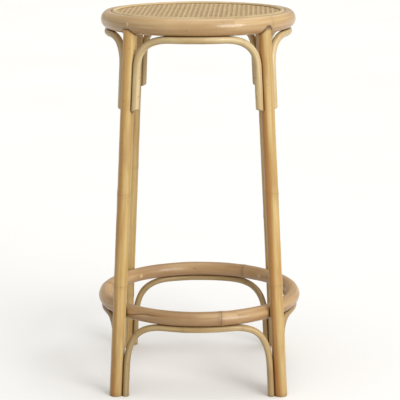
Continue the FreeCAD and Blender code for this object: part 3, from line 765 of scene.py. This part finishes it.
class Look:
    """A node material under construction."""

    def __init__(self, name):
        self.material = bpy.data.materials.new(name)
        self.material.use_nodes = True
        self.tree = self.material.node_tree
        self.tree.nodes.clear()
        self.shader = self.tree.nodes.new("ShaderNodeBsdfPrincipled")
        output = self.tree.nodes.new("ShaderNodeOutputMaterial")
        self.tree.links.new(self.shader.outputs[0], output.inputs[0])

    def put(self, socket, value):
        if isinstance(value, bpy.types.NodeSocket):
            self.tree.links.new(value, socket)
        elif value is not None:
            socket.default_value = value

    def node(self, kind, *values, **settings):
        """A new node with its settings, and what goes into its first sockets."""
        node = self.tree.nodes.new("ShaderNode" + kind)
        for name, value in settings.items():
            setattr(node, name, value)
        for socket, value in zip(node.inputs, values):
            self.put(socket, value)
        return node

    def attribute(self, name, output="Fac"):
        return self.node("Attribute", attribute_name=name).outputs[output]

    def math(self, operation, first, second=None, third=None):
        return self.node("Math", first, second, third, operation=operation).outputs[0]

    def plus(self, first, second):
        return self.math("ADD", first, second)

    def minus(self, first, second):
        return self.math("SUBTRACT", first, second)

    def times(self, first, second):
        return self.math("MULTIPLY", first, second)

    def vector(self, operation, first, second=None):
        return self.node("VectorMath", first, second, operation=operation).outputs[0]

    def join(self, x, y, z):
        return self.node("CombineXYZ", x, y, z).outputs[0]

    def split(self, vector):
        return self.node("SeparateXYZ", vector).outputs

    def noise(self, place, stretch, detail=2.0, roughness=0.5, distortion=0.0):
        """Cloudy noise. stretch: how many clouds to the metre along each axis."""
        node = self.node("TexNoise", self.vector("MULTIPLY", place, stretch))
        for name, value in (("Scale", 1.0), ("Detail", detail), ("Roughness", roughness),
                            ("Distortion", distortion)):
            node.inputs[name].default_value = value
        return node.outputs[0]

    def cells(self, place, stretch):
        """Distance to the nearest of scattered points."""
        node = self.node("TexVoronoi", self.vector("MULTIPLY", place, stretch))
        node.inputs["Scale"].default_value = 1.0
        return node.outputs["Distance"]

    def fade(self, value, start, end, low=0.0, high=1.0):
        """The value's share of the way from start to end, smoothed, from low to high."""
        if start > end:
            start, end, low, high = end, start, high, low
        return self.node("MapRange", value, start, end, low, high,
                         interpolation_type="SMOOTHSTEP").outputs[0]

    def blend(self, share, first, second):
        """From the first colour to the second: a socket, or an sRGB colour from 0 to 255."""
        node = self.node("Mix", share, data_type="RGBA", blend_type="MIX", clamp_factor=True)
        for socket, colour in ((node.inputs[6], first), (node.inputs[7], second)):
            self.put(socket, linear(*colour) if isinstance(colour, (tuple, list)) else colour)
        return node.outputs[2]

    def bump(self, height, distance, strength=1.0, below=None):
        node = self.node("Bump")
        node.inputs["Strength"].default_value = strength
        node.inputs["Distance"].default_value = distance
        self.put(node.inputs["Height"], height)
        self.put(node.inputs["Normal"], below)
        return node.outputs[0]

    def finish(self, colour, roughness, normal=None, **constants):
        self.put(self.shader.inputs["Base Color"], colour)
        self.put(self.shader.inputs["Roughness"], roughness)
        self.put(self.shader.inputs["Normal"], normal)
        for name, value in constants.items():
            self.shader.inputs[name.replace("_", " ")].default_value = value
        return self.material


def grain_place(look):
    """The grain coordinate of a pole, moved to the piece's own part of the pattern."""
    grain = look.attribute("grain", "Vector")
    shift = look.attribute("shift")
    return look.vector("ADD", grain, look.join(0.0, 0.0, shift)), grain


def rattan(name, pale, middle, deep, scar, *, warm=None, warm_share=0.5, streaks=1.0, gloss=0.42,
           mark=0.5, coat=(0.3, 0.2), crack=None, scarf=None, spots_at=()):
    """A peeled and lacquered rattan pole: long fibres, broad streaks, nodes, specks and pores."""
    look = Look(name)
    place, raw = grain_place(look)
    shade = look.attribute("tone")
    knot = look.attribute("knot")

    broad = look.noise(place, (150, 150, 6.5), detail=3, roughness=0.55)
    fibre = look.noise(place, (620, 620, 16), detail=3, roughness=0.6)
    hair = look.noise(place, (2300, 2300, 70), detail=2, roughness=0.6)
    patch = look.noise(place, (38, 38, 9), detail=2, roughness=0.5)
    mottle = look.noise(place, (210, 210, 95), detail=4, roughness=0.65)

    colour = look.blend(look.fade(broad, 0.36, 0.66), middle, pale)
    colour = look.blend(look.fade(patch, 0.50, 0.30, 0.0, 0.55), colour, deep)
    if warm:
        bands = look.noise(place, (95, 95, 4.2), detail=2, distortion=0.3)
        colour = look.blend(look.fade(bands, 0.54, 0.68, 0.0, warm_share), colour, warm)
        # the warm attribute marks a leg's own warmer streak, and painted shade on the underside of
        # the rings
        band = look.times(look.attribute("warm"), look.fade(bands, 0.30, 0.52, 0.55))
        colour = look.blend(band, colour, warm)
    colour = look.blend(look.fade(fibre, 0.50, 0.30, 0.0, 0.42 * streaks), colour, deep)
    colour = look.blend(look.fade(hair, 0.46, 0.28, 0.0, 0.30), colour, deep)
    colour = look.blend(look.fade(mottle, 0.60, 0.78, 0.0, 0.35), colour, pale)

    # a node: a fine brown line, with a faint stain that fades along the pole
    wander = look.times(look.minus(mottle, 0.5), 1.6)
    gap = look.math("ABSOLUTE", look.plus(knot, wander))
    stain = look.times(look.fade(gap, 11.0, 1.0, 0.0, 0.45 * mark),
                       look.fade(patch, 0.30, 0.65, 0.4))
    colour = look.blend(stain, colour, scar)
    line = look.times(look.fade(gap, 1.25, 0.35), look.fade(fibre, 0.25, 0.55, 0.45))
    colour = look.blend(look.times(line, mark), colour, [0.72 * c for c in scar])

    # small dark marks, longer than they are wide
    spots = look.cells(place, (85, 85, 34))
    spots = look.fade(spots, 0.085, 0.03, 0.0, 0.6)
    colour = look.blend(spots, colour, [0.62 * c for c in scar])

    for centre, size in spots_at:
        node = look.node("VectorMath", raw, [c * MM for c in centre], operation="DISTANCE")
        away = look.plus(node.outputs["Value"], look.times(wander, 0.0005))
        colour = look.blend(look.fade(away, size * MM, 0.45 * size * MM, 0.0, 0.8), colour,
                            [0.6 * c for c in scar])

    height = look.math("MULTIPLY_ADD", hair, 0.35, look.times(fibre, 0.65))
    height = look.minus(height, look.times(spots, 0.8))

    if crack:
        colour, height = drying_crack(look, raw, colour, height, crack)
    if scarf:
        colour, height = scarf_joint(look, raw, colour, height, scarf)

    # painted shade: darker brown where another pole, the seat's lip or the webbing lies within a
    # few millimetres, standing in for the shade in crevices and joints
    near = look.attribute("near")
    colour = look.blend(look.fade(near, 4.0, 0.5, 0.0, 0.86), colour, (88, 54, 20))

    brighter = look.fade(shade, -2.0, 2.0, 0.64, 1.36)
    colour = look.node("VectorMath", colour, None, None, brighter, operation="SCALE").outputs[0]

    normal = look.bump(height, 0.00022, 0.55)
    normal = look.bump(patch, 0.0008, 0.5, normal)
    roughness = look.plus(look.fade(mottle, 0.3, 0.75, gloss - 0.07, gloss + 0.09),
                          look.times(look.fade(fibre, 0.3, 0.7), 0.08))
    return look.finish(colour, roughness, normal, Coat_Weight=coat[0], Coat_Roughness=coat[1],
                       Coat_IOR=1.48, IOR=1.46)


def drying_crack(look, raw, colour, height, crack):
    """A dark drying split. crack: where it starts, begins to fade and ends along the pole, and its
    angle in the section at its start and further on."""
    start, fading, end, first, last = crack
    x, y, s = look.split(raw)
    reach = look.times(look.fade(s, (start - 3) * MM, (start + 2) * MM),
                      look.fade(s, end * MM, fading * MM))
    curve = look.noise(look.join(0.0, 0.0, s), (0, 0, 60), detail=3)
    middle = look.fade(s, start * MM, (start + 46) * MM, radians(first), radians(last))
    side = look.minus(look.math("ARCTAN2", y, x), middle)
    side = look.plus(side, look.times(look.minus(curve, 0.5), 0.20))
    side = look.math("ABSOLUTE", side)
    split = look.times(look.fade(side, 0.085, 0.02), reach)
    halo = look.times(look.fade(side, 0.24, 0.04, 0.0, 0.4), reach)
    colour = look.blend(halo, colour, (150, 104, 66))
    colour = look.blend(look.times(split, 0.85), colour, (98, 62, 38))
    return colour, look.minus(height, look.times(split, 2.0))


def scarf_joint(look, raw, colour, height, tube):
    """The long slanted glue line where the pole's two ends meet, and its wipe of filler."""
    x, _, s = look.split(raw)
    lean = look.times(x, SCARF_HALF / tube)
    ripple = look.noise(raw, (300, 300, 120), detail=2)
    gap = look.plus(look.minus(s, lean),
                    look.times(look.minus(ripple, 0.5), 0.0009))
    gap = look.math("ABSOLUTE", gap)
    colour = look.blend(look.fade(gap, 0.0042, 0.0008, 0.0, 0.2), colour, (214, 182, 138))
    line = look.fade(gap, 0.0007, 0.0002)
    colour = look.blend(look.times(line, 0.8), colour, (112, 78, 50))
    return colour, look.minus(height, line)


def sawn_end(name, face, pore):
    """End grain of rattan: pores all over, with darker blotches and fine saw marks."""
    look = Look(name)
    place, _ = grain_place(look)
    pores = look.cells(place, (1500, 1500, 0.0))
    blotch = look.noise(place, (170, 170, 3), detail=3)
    saw = look.noise(place, (60, 1700, 3), detail=2)
    colour = look.blend(look.fade(pores, 0.36, 0.16, 0.0, 0.85), face, pore)
    colour = look.blend(look.fade(blotch, 0.4, 0.7, 0.0, 0.5), colour, [0.8 * c for c in face])
    height = look.plus(look.times(saw, 0.6), look.fade(pores, 0.15, 0.4))
    return look.finish(colour, look.fade(blotch, 0.3, 0.7, 0.72, 0.9),
                       look.bump(height, 0.0003, 0.6))


def cane(name, pale, middle, deep, gloss):
    """Split cane with its glossy skin: fine lines along it, and each strand in a shade of its own.
    A higher tone is darker here, the other way round than in rattan."""
    look = Look(name)
    place = look.attribute("grain", "Vector")
    shade = look.attribute("tone")
    line = look.noise(place, (2600, 2600, 30), detail=2)
    cloud = look.noise(place, (150, 150, 28), detail=3)
    colour = look.blend(look.fade(cloud, 0.35, 0.68), middle, pale)
    colour = look.blend(look.fade(line, 0.5, 0.3, 0.0, 0.5), colour, deep)
    colour = look.blend(look.fade(shade, 0.2, 1.2, 0.0, 0.6), colour, deep)
    colour = look.blend(look.fade(shade, -0.2, -1.2, 0.0, 0.55), colour, pale)
    roughness = look.fade(cloud, 0.3, 0.75, gloss, gloss + 0.14)
    return look.finish(colour, roughness, look.bump(line, 0.00012, 0.5), Coat_Weight=0.2,
                       Coat_Roughness=0.3)


def object_place(look):
    return look.node("TexCoord").outputs["Object"]


def plywood(name):
    """The seat board: a plain veneered face, with its grain, figure and fine dark pores."""
    look = Look(name)
    place = object_place(look)
    grain = look.noise(place, (22, 430, 430), detail=4, roughness=0.6)
    figure = look.noise(place, (5, 46, 46), detail=3, distortion=1.2)
    pores = look.noise(place, (90, 2100, 2100), detail=1)
    colour = look.blend(look.fade(figure, 0.35, 0.65), (226, 196, 152), (236, 210, 168))
    colour = look.blend(look.fade(grain, 0.55, 0.35, 0.0, 0.5), colour, (204, 168, 120))
    colour = look.blend(look.fade(pores, 0.42, 0.30, 0.0, 0.6), colour, (150, 112, 74))
    return look.finish(colour, look.fade(grain, 0.3, 0.7, 0.55, 0.75),
                       look.bump(grain, 0.0003, 0.5))


def steel(name):
    """Small nails and screws with a yellowed zinc finish under the lacquer, tarnished in places."""
    look = Look(name)
    place = object_place(look)
    draw = look.noise(place, (900, 900, 900), detail=3)
    tarnish = look.noise(place, (260, 260, 260), detail=4, roughness=0.7)
    colour = look.blend(look.fade(tarnish, 0.48, 0.72), (196, 170, 126), (158, 128, 88))
    return look.finish(colour, look.fade(tarnish, 0.3, 0.7, 0.42, 0.62),
                       look.bump(draw, 0.00008, 0.6), Metallic=0.35)


def pale_floor(name):
    """A matt, nearly white floor."""
    look = Look(name)
    place = object_place(look)
    cloud = look.noise(place, (0.9, 0.9, 0.9), detail=3)
    speckle = look.noise(place, (140, 140, 140), detail=2)
    colour = look.blend(look.fade(cloud, 0.3, 0.7), (244, 244, 243), (247, 247, 246))
    return look.finish(colour, look.fade(speckle, 0.3, 0.7, 0.78, 0.86),
                       look.bump(speckle, 0.0002, 0.2))


# ---------------------------------------------------------------- the stool

LOOKS = {
    "legs": rattan("rattan_legs_look", (206, 177, 117), (189, 154, 90), (166, 124, 62),
                   (122, 84, 46), warm=(180, 122, 58), warm_share=0.5, mark=0.14, coat=(0.25, 0.2)),
    "seat_ring": rattan("rattan_seat_ring_look", (204, 174, 128), (188, 155, 107), (162, 126, 79),
                        (122, 86, 52), warm=(178, 130, 74), warm_share=0.25, streaks=0.7,
                        gloss=0.36, mark=0.16, scarf=SEAT_TUBE, coat=(0.5, 0.13),
                        spots_at=(((16.7, -5.1, 460.3), 1.3),)),
    "footrest": rattan("rattan_footrest_look", (188, 157, 113), (171, 137, 95), (144, 108, 69),
                       (108, 72, 44), warm=(160, 112, 66), warm_share=0.3, streaks=1.1, gloss=0.40,
                       mark=0.62, scarf=FOOT_TUBE, coat=(0.35, 0.18),
                       crack=(382.0, 432.0, 476.0, -6.0, 24.0),
                       spots_at=(((7.5, 12.0, -403.0), 1.9),)),
    "upper": rattan("rattan_upper_arches_look", (216, 194, 149), (199, 173, 123), (174, 142, 90),
                    (140, 104, 62), streaks=0.7, gloss=0.42, mark=0.14, coat=(0.2, 0.22)),
    "lower": rattan("rattan_lower_arches_look", (188, 162, 115), (167, 139, 92), (137, 109, 67),
                    (110, 82, 52), streaks=1.2, gloss=0.46, mark=0.2, coat=(0.15, 0.25)),
    "spline": rattan("rattan_core_look", (208, 186, 144), (192, 168, 124), (168, 138, 92),
                     (136, 102, 64), streaks=0.8, gloss=0.55, mark=0.16, coat=(0.05, 0.3)),
    "webbing": cane("cane_webbing_look", (216, 190, 144), (194, 164, 117), (160, 128, 84), 0.44),
    "plugs": rattan("plug_wood_look", (216, 188, 150), (198, 168, 128), (170, 136, 96),
                    (140, 104, 68), streaks=0.6, gloss=0.5),
    "ends": sawn_end("sawn_end_look", (206, 170, 116), (132, 92, 56)),
    "steel": steel("steel_look"),
    "board": plywood("plywood_look"),
}

LEG_DROPS = {name: LEG_DROP + (6.0 if name == "front_left" else 0.0) for name in LEGS}

# Shades as pairs: the azimuth for a ring or the level for a leg, and the tone. Higher is brighter.
# The lighter left ends of the seat ring and footrest, near azimuth 180, are partly the rattan's own
# paler colour and partly painted light standing in for fill from the left.
SEAT_TONES = ((0, 0.25), (120, 0.1), (180, 1.1), (200, 0.8), (222, -0.1), (240, -0.1), (262, 0.05),
              (318.4, 0.0), (319.2, 0.2), (360, 0.25))
FOOT_TONES = ((0, 0.4), (60, 0.1), (120, 0.0), (165, 1.2), (200, 1.2), (222, 0.3), (240, -0.15),
              (282.6, -0.2), (283.3, 0.3), (360, 0.4))
SPLINE_TONES = ((0, 0.4), (30, 0.0), (90, -0.1), (150, 0.0), (180, 0.6), (205, 0.2), (240, -0.3),
                (300, -0.3), (335, 0.1), (360, 0.4))
LEG_TONES = {"back_right": ((0, -1.4), (7, -0.3), (210, 0.2), (720, 0.2)),
             "back_left": ((0, -1.6), (7, -0.6), (210, -0.3), (720, -0.3)),
             "front_left": ((0, -1.8), (7, -0.65), (210, -0.1), (480, -0.1), (600, 0.4)),
             "front_right": ((0, -1.7), (7, -0.45), (210, 0.15), (480, 0.15), (600, 0.0))}

# A leg's warmer streak: its first and last angle from the front, and its strength.
WARM_BANDS = {"back_right": (30.0, 110.0, 0.6), "back_left": (-150.0, -40.0, 0.5),
              "front_left": (-58.0, -8.0, 0.6), "front_right": (-74.0, -4.0, 0.85)}


def make_rings():
    grid, grain, gaps, length = ring_piece(
        SEAT_RING, seat_section(), ring_knots(SEAT_R, (78.0, 196.0, 319.0)), 11, 0.14, 0.42)
    seat = tube_mesh("seat_ring_pole", grid, grain, gaps, LOOKS["seat_ring"], seam_run=length)
    heads = [head_outline(azimuth, LEG_DROPS[name]) for name, azimuth in LEGS.items()]
    places = vertex_places(seat)
    # painted shade: the seat ring darkens near the arches and the leg heads, and along the top of
    # its rebate wall where the edge cane sits
    near = neighbour_gap(places, canes=[(UPPER, a) for a in SIDES.values()], outlines=heads)
    lip = np.hypot(np.hypot(places[:, 0], places[:, 1]) - REBATE_WALL, places[:, 2] - CROWN)
    near = np.minimum(near, 2.0 * lip)
    finish_piece(seat, ["seat_ring"], round_tone(places, SEAT_TONES), 0.0, near,
                 painted_underside_shade(places, SEAT_Z, 0.6))
    grid, grain, gaps, length = ring_piece(
        FOOT_RING, circle_section(FOOT_TUBE, 72), ring_knots(FOOT_R, (60.0, 172.0, 283.0)),
        12, 0.16, 0.55)
    foot = tube_mesh("footrest_pole", clear_of_legs(grid), grain, gaps, LOOKS["footrest"],
                     seam_run=length)
    places = vertex_places(foot)
    # painted shade: the footrest darkens where it meets the legs and the lower arches
    near = neighbour_gap(places, LEGS.values(), canes=[(LOWER, a) for a in SIDES.values()])
    finish_piece(foot, ["footrest_ring"], round_tone(places, FOOT_TONES), 1.3,
                 near, painted_underside_shade(places, FOOT_Z, 0.6))


def painted_underside_shade(points, level, strength):
    """Painted shade: the lower half of a ring gets more of its warmer, darker colour than the top.
    """
    return strength * np.clip((level + 3.0 - points[:, 2]) / 14.0, 0, 1)


def round_tone(points, tones):
    """A ring's shade by azimuth, between the pairs (azimuth, tone)."""
    return np.interp(np.degrees(np.arctan2(points[:, 1], points[:, 0])) % 360, *zip(*tones))


def ring_knots(radius, azimuths):
    """Node positions along a ring's pole, which starts opposite its scarf joint."""
    return [radians((azimuth - SCARF_AZIMUTH - 180.0) % 360) * radius for azimuth in azimuths]


def clear_of_legs(grid):
    """Flatten the footrest where it is pressed against the legs."""
    points = grid.reshape(-1, 3)
    for azimuth in LEGS.values():
        points = out_of_leg(points, azimuth, RING_PRESS)
    return points.reshape(grid.shape)


def make_legs():
    knots = {"front_left": (219.0, 400.0), "front_right": (221.0, 402.0),
             "back_left": (118.0, 398.0), "back_right": (291.0, 655.0)}
    for number, (name, azimuth) in enumerate(LEGS.items()):
        grid, grain, gaps = leg_piece(azimuth, knots[name], 20 + number, LEG_DROPS[name])
        leg = tube_mesh("leg_pole_" + name, grid, grain, gaps, LOOKS["legs"], LOOKS["ends"])
        places = vertex_places(leg)
        # painted shade: the leg darkens where the rings and arches meet it
        near = neighbour_gap(places, rings=(SEAT_RING, FOOT_RING), canes=[
            (family, a) for family in (UPPER, LOWER) for a in (azimuth - 45, (azimuth + 45) % 360)])
        tone = np.interp(places[:, 2], *zip(*LEG_TONES[name]))
        finish_piece(leg, ["leg_" + name], tone, 2.0 + 1.7 * number, near,
                     warm_band(places, azimuth, WARM_BANDS[name]))


def warm_band(points, azimuth, band):
    """How far a leg's surface lies in its warm streak, by angle from the front, or at its foot."""
    first, last, strength = band
    offset = off_axis(points, azimuth)
    turn = np.degrees(np.arctan2(offset[:, 0], -offset[:, 1]))
    inside = np.clip((turn - first) / 14.0, 0, 1) * np.clip((last - turn) / 14.0, 0, 1)
    low = 0.35 * np.clip((95.0 - points[:, 2]) / 90.0, 0, 1)
    low = low * np.clip(1.6 - np.abs(turn) / 50.0, 0, 1)
    return np.minimum(1.0, strength * inside + low)


def make_arches():
    for label, family, seed, tones in (("upper", UPPER, 40, (0.1, -0.15, 0.05, 0.0)),
                                       ("lower", LOWER, 60, (0.1, -0.1, 0.1, 0.35))):
        for number, (side, azimuth) in enumerate(SIDES.items()):
            knots = ((150.0 + 31.0 * number, 392.0 - 23.0 * number) if label == "upper"
                     else (118.0 + 37.0 * number, 402.0 - 19.0 * number))
            grid, grain, gaps = arch_piece(family, azimuth, knots, seed + number)
            arch = tube_mesh(f"{label}_arch_cane_{side}", grid, grain, gaps, LOOKS[label],
                             LOOKS["ends"])
            places = vertex_places(arch)
            # painted shade: the arch darkens where it beds against its legs and ring
            near = neighbour_gap(places, (azimuth - 45, azimuth + 45), (family["ring"],))
            tone = tones[number] - 1.2 * np.clip((7.0 - places[:, 2]) / 7.0, 0.0, 1.0)
            if side == "front" and label == "lower":
                tone = tone - 1.1 * np.clip((-places[:, 0] - 60.0) / 80.0, 0.0, 1.0)
            finish_piece(arch, [f"{label}_arch_{side}"],
                         tone, 11.0 + 1.9 * number + seed, near)


def make_seat():
    parts = [("webbing_warp_pairs", straight_lines(False), PAIR_W, 0.6, 71),
             ("webbing_weft_pairs", straight_lines(True), PAIR_W, -0.5, 72),
             ("webbing_diagonals_right", diagonal_lines(1), DIAGONAL_W, -0.4, 73),
             ("webbing_diagonals_left", diagonal_lines(-1), DIAGONAL_W, -0.4, 74)]
    for name, lines, width, shade_lean, seed in parts:
        obj = strands_piece(name, lines, width, shade_lean, LOOKS["webbing"], seed)
        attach(obj, "root")
        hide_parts("cane_webbing")
    grid, grain, gaps = spline_piece()
    edge = tube_mesh("seat_edge_cane", grid, grain, gaps, LOOKS["spline"], LOOKS["ends"])
    places = vertex_places(edge)
    # painted shade: the edge cane darkens towards its foot, where it stands on the webbing and
    # against the ring's rebate wall
    near = np.maximum(2.4 * (places[:, 2] - SPLINE_BASE) - 0.2, 0.0)
    finish_piece(edge, ["seat_edge_spline"], round_tone(places, SPLINE_TONES), 90.0,
                 near)


def make_plugs():
    enter, dip = radians(8.0), radians(54.0)
    tops, inners = [], []
    for azimuth in LEGS.values():
        turn = azimuth + 1.6
        entry = polar(SEAT_R + SEAT_TUBE * cos(enter), turn, SEAT_Z + SEAT_TUBE * sin(enter))
        tops.append((entry, outward(turn) * -cos(dip) + np.array([0, 0, -sin(dip)])))
        inners.append((polar(FOOT_R - FOOT_TUBE, azimuth, FOOT_Z), outward(azimuth)))
    upper = plugs_piece("leg_top_plug_caps", tops, SEAT_RING, 2.6, LOOKS["plugs"],
                        (-0.6, -0.5, 0.8, -0.6))
    lower = plugs_piece("footrest_plug_caps", inners, FOOT_RING, 4.0, LOOKS["plugs"],
                        (0.0, 0.5, -0.2, -0.2))
    for obj, node in ((upper, "leg_top_plugs"), (lower, "footrest_plugs")):
        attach(obj, "root")
        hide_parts(node)


def dress_cad_nodes():
    """The board and the small steel keep their CAD shapes and get finished materials."""
    for name in ("leg_top_screws", "footrest_screws", "upper_arch_leg_nails",
                 "upper_arch_ring_nails", "lower_arch_leg_nails", "lower_arch_ring_nails",
                 "seat_ring_scarf_pins", "footrest_ring_scarf_pins", "seat_board_pins",
                 "seat_edge_spline_pins", "webbing_staples"):
        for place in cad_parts[name].material_slots:
            place.material = LOOKS["steel"]
    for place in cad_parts["seat_board"].material_slots:
        place.material = LOOKS["board"]


# ---------------------------------------------------------------- floor, light and camera

def soft_sun(name, around, height, spread, power, shine=1.0):
    """Broad, even light from far off. around: degrees to the right of the camera's side."""
    data = bpy.data.lights.new(name, "SUN")
    data.angle = radians(spread)
    data.energy = power
    data.specular_factor = shine
    link_object(name, data).rotation_euler = (radians(90 - height), 0.0, radians(around))


def set_stage():
    half = 45.0
    mesh = bpy.data.meshes.new("studio_floor")
    mesh.from_pydata([(-half, -half, 0), (half, -half, 0), (half, half, 0), (-half, half, 0)], [],
                     [(0, 1, 2, 3)])
    mesh.materials.append(pale_floor("studio_floor_look"))
    floor = link_object("studio_floor", mesh)
    floor.visible_diffuse = False

    world = bpy.data.worlds.new("studio_world")
    bpy.context.scene.world = world
    world.use_nodes = True
    background = world.node_tree.nodes["Background"]
    background.inputs[0].default_value = (1.0, 0.975, 0.935, 1.0)
    background.inputs[1].default_value = 0.49

    soft_sun("key_light", 40.0, 15.0, 32.0, 2.05)
    soft_sun("top_light", 65.0, 74.0, 70.0, 1.55, 0.5)

    # fitted to the stool's outlines: the focal length is in parts of a picture 400 wide
    sensor, focal, width = 36.0, 1550.0, 400.0
    data = bpy.data.cameras.new("studio_camera")
    data.lens = sensor * focal / width
    data.sensor_width = sensor
    data.shift_x = 0.0029
    data.clip_end = 200.0
    camera = link_object("studio_camera", data)
    camera.location = (0.04556, -3.048, 1.02836)
    camera.rotation_mode = "XYZ"
    camera.rotation_euler = (radians(77.5664), radians(0.213), radians(0.8119))
    bpy.context.scene.camera = camera
    bpy.context.scene.view_settings.view_transform = "Standard"


make_rings()
make_legs()
make_arches()
make_seat()
make_plugs()
dress_cad_nodes()
set_stage()

bpy.context.view_layer.update()
